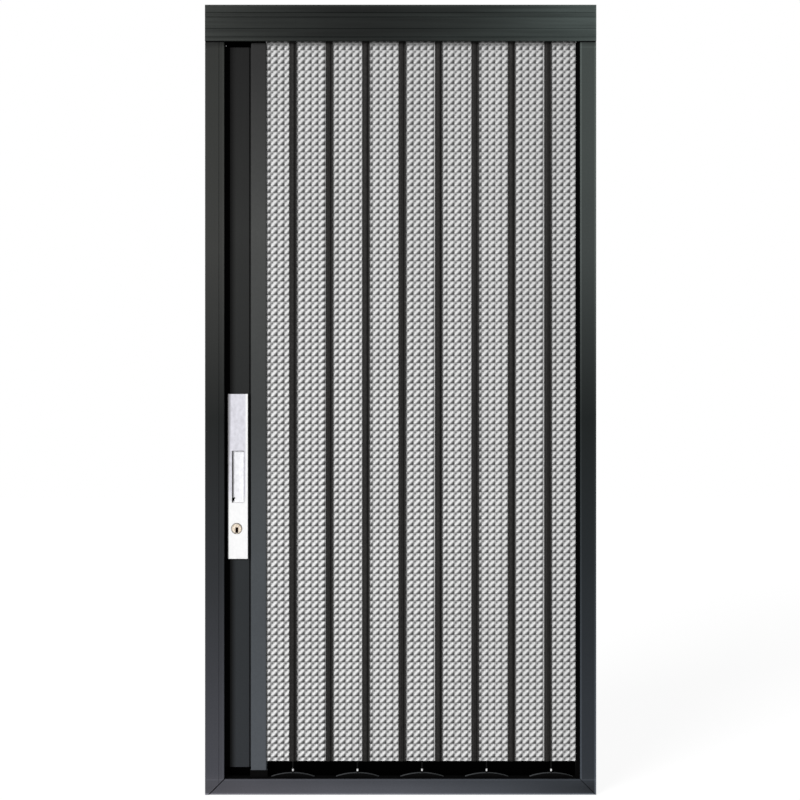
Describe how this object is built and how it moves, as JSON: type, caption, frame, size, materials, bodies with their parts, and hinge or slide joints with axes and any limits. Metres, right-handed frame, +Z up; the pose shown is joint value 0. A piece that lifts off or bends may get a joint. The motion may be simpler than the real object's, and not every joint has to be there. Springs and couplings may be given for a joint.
{
  "type": "concertina screen door",
  "caption": "Closed concertina (folding, sliding) screen door in its own frame: embossed metal slats joined by full-height hinge profiles, closing stile with finger pull and key lock.",
  "frame": {"origin": "middle of the sill's flat underside, half-way through the frame's depth", "axes": "+X to the right seen from the front, -Y towards the viewer in front of the door, +Y into the building, +Z up"},
  "size_m": [1.04, 0.05, 2.1],
  "materials": {
    "frame_coat": "charcoal powder coat, satin",
    "stile_coat": "charcoal powder coat, satin",
    "hinge_coat": "near-black powder coat, satin",
    "rail_coat": "black coat, matt",
    "track_metal": "mill finish",
    "slat_metal": "embossed, silver-grey, satin",
    "seal_rubber": "matt black",
    "slider_plastic": "black nylon",
    "lock_metal": "pale satin",
    "lock_brass": "pale brass, worn",
    "pin_steel": "zinc-plated"
  },
  "bodies": {
    "door": {"bottom_rail": "rail_coat", "cover_stile": "stile_coat", "end_channel": "rail_coat", "finger_pull": "lock_metal", "guide_pins": "pin_steel", "guide_shoes": "slider_plastic", "head": "frame_coat", "head_gaskets": "seal_rubber", "hinge_beads": "hinge_coat", "hinge_socket_1": "hinge_coat", "hinge_socket_2": "hinge_coat", "hinge_socket_3": "hinge_coat", "hinge_socket_4": "hinge_coat", "hinge_socket_5": "hinge_coat", "hinge_socket_6": "hinge_coat", "hinge_socket_7": "hinge_coat", "hinge_socket_8": "hinge_coat", "left_jamb": "frame_coat", "lock_cover": "lock_metal", "lock_cylinder": "lock_brass", "lock_stile": "stile_coat", "nose_seal": "seal_rubber", "right_jamb": "frame_coat", "sill": "frame_coat", "slat_1": "slat_metal", "slat_2": "slat_metal", "slat_3": "slat_metal", "slat_4": "slat_metal", "slat_5": "slat_metal", "slat_6": "slat_metal", "slat_7": "slat_metal", "slat_8": "slat_metal", "slat_9": "slat_metal", "stile_carrier": "slider_plastic", "stile_foot": "slider_plastic", "top_hangers": "pin_steel", "top_track": "track_metal"},
    "key_plug": {"key_plug": "lock_brass"}
  },
  "joints": [
    {"name": "key_turn", "type": "hinge", "parent": "door", "child": "key_plug", "pos_m": [-0.437, -0.012, 0.7065], "axis": [0, 1, 0], "range_deg": [-90, 90]}
  ]
}
